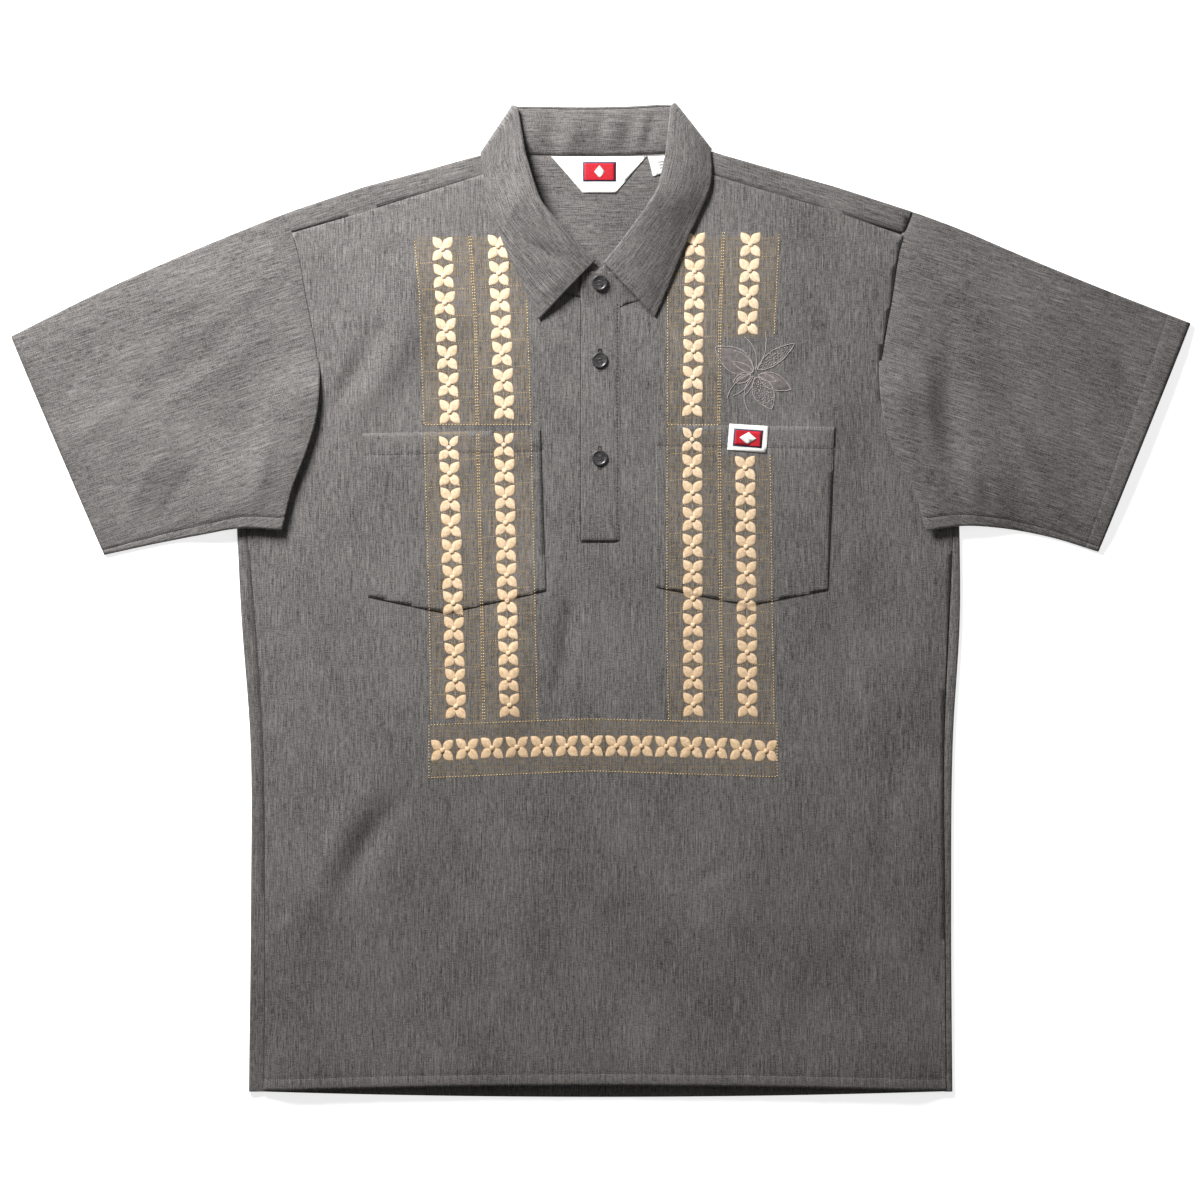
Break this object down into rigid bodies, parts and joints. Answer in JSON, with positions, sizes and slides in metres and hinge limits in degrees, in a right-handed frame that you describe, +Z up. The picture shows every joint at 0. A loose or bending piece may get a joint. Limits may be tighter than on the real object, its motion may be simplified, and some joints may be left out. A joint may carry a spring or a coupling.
{
  "type": "barong style pullover shirt",
  "caption": "Short-sleeved grey pullover shirt with a half placket, patch pockets and embroidered flower bands, laid flat and face up.",
  "frame": {"origin": "middle of the laid shirt's underside, on the table", "axes": "+Z up from the table, +Y from hem to collar, +X from the wearer's right sleeve to the left one"},
  "size_m": [0.9428, 0.7934, 0.0123],
  "materials": {
    "shirt_cloth": "slubbed plain weave, grey and light grey yarns, matt",
    "label_cloth": "woven label, white with plain colour blocks",
    "button_plastic": "grey polyester, satin",
    "embroidery_thread": "cream to gold embroidery thread, slight sheen"
  },
  "bodies": {
    "root": {"front_body": "shirt_cloth", "back_body": "shirt_cloth", "yoke": "shirt_cloth", "sleeve_right": "shirt_cloth", "sleeve_left": "shirt_cloth", "collar_stand": "shirt_cloth", "collar_leaf": "shirt_cloth", "placket_top": "shirt_cloth", "placket_under": "shirt_cloth", "pocket_right": "shirt_cloth", "pocket_left": "shirt_cloth", "neck_label": "label_cloth", "size_label": "label_cloth", "pocket_label": "label_cloth", "button_1": "button_plastic", "button_2": "button_plastic", "button_3": "button_plastic"}
  },
  "joints": []
}
